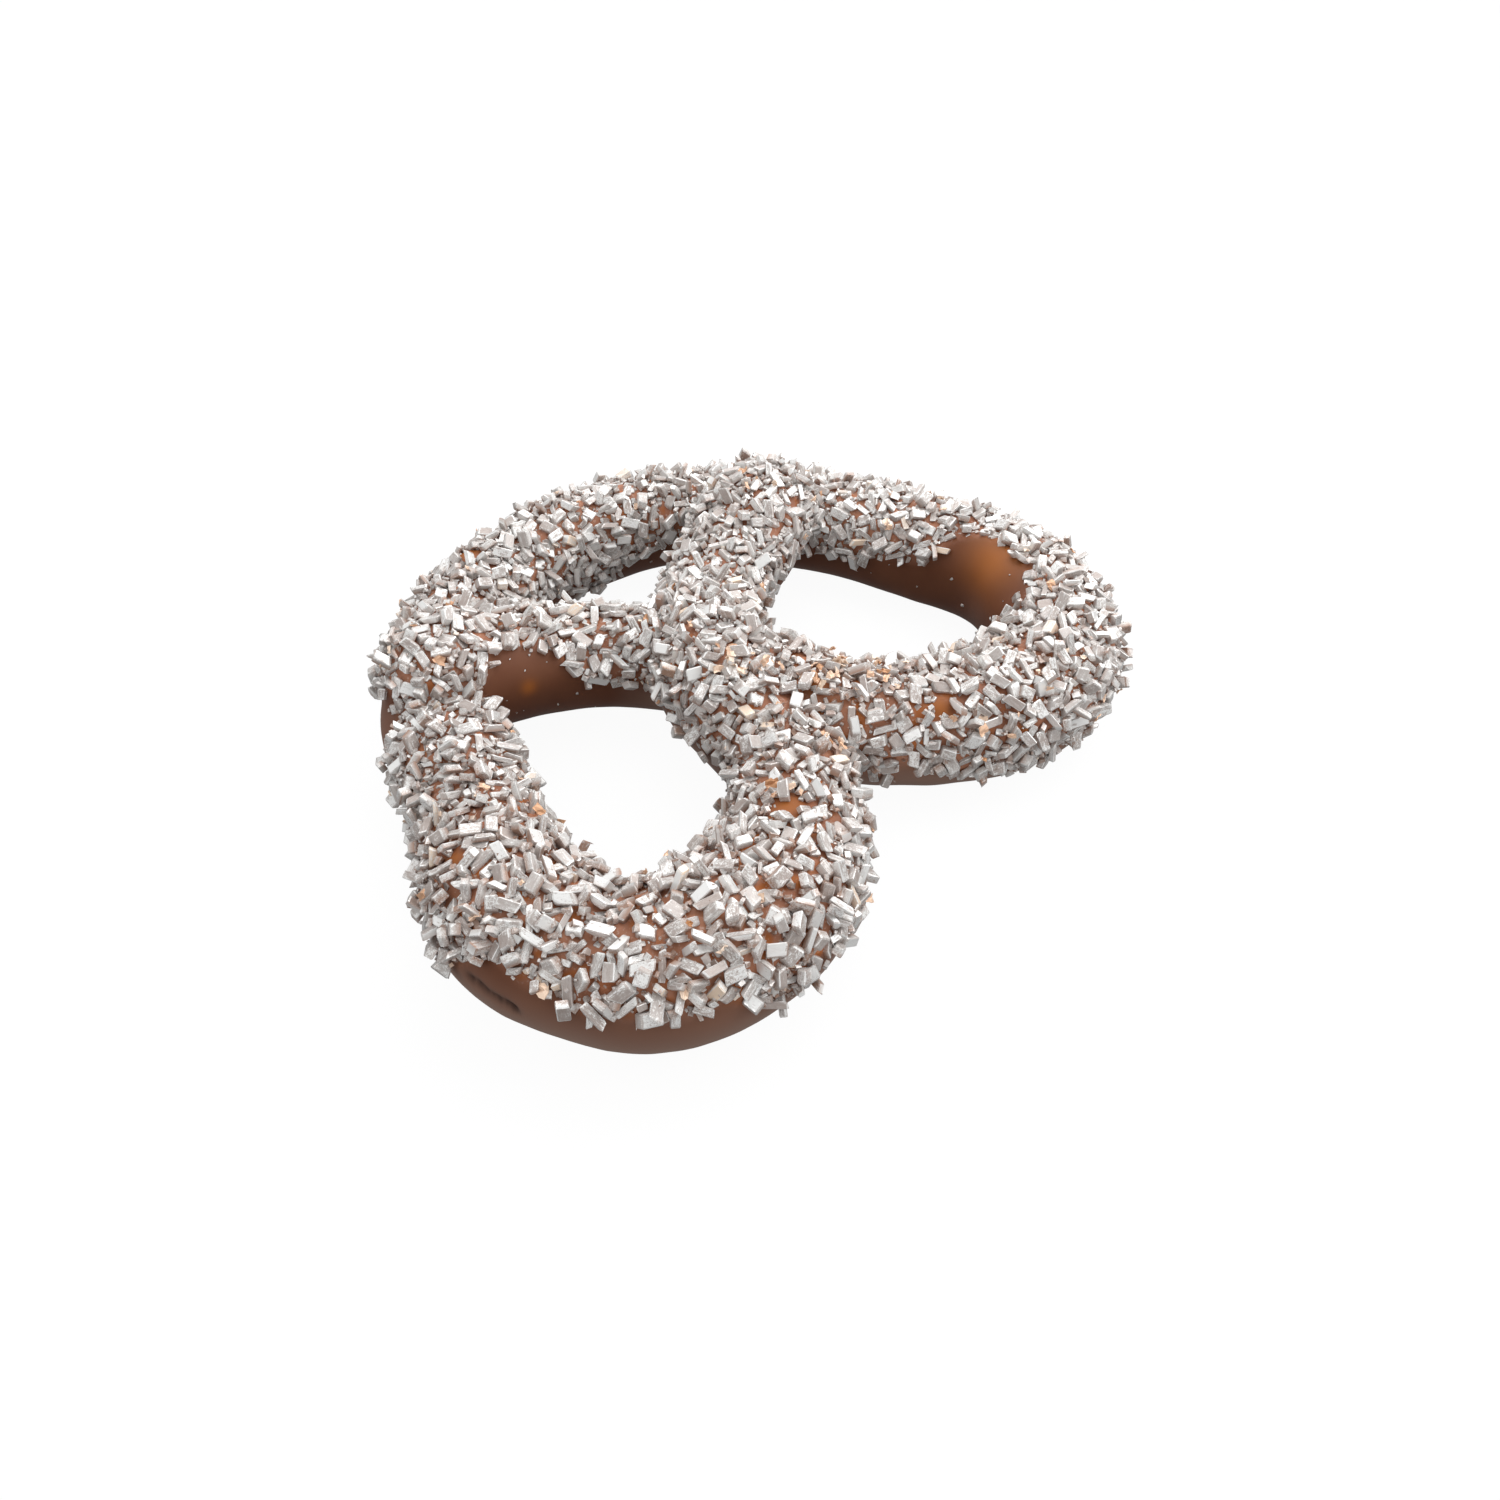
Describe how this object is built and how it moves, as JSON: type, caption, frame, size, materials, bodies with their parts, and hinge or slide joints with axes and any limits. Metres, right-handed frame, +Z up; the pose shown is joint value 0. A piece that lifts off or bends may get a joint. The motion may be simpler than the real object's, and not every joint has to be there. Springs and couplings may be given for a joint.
{
  "type": "chocolate pretzel with sugar crystals",
  "caption": "Crossed pretzel twist dipped in milk chocolate and strewn all over its top with coarse pearly silver sugar crystals; it lies flat.",
  "frame": {"origin": "middle of the overall box, at its underside, on the surface that the pretzel lies on", "axes": "+X along the longest side, across both lobes; +Y from the notch between the lobes to the back bend; +Z up"},
  "size_m": [0.0714, 0.0592, 0.0135],
  "materials": {
    "milk_chocolate": "set milk chocolate with a soft sheen, smooth where the sugar leaves it bare",
    "pearl_sugar": "coarse silver-grey sugar crystals with a pearly shine and bright facets",
    "copper_flecks": "thin peach and copper coloured flecks among the sugar"
  },
  "bodies": {
    "root": {"pretzel": "milk_chocolate"}
  },
  "joints": []
}
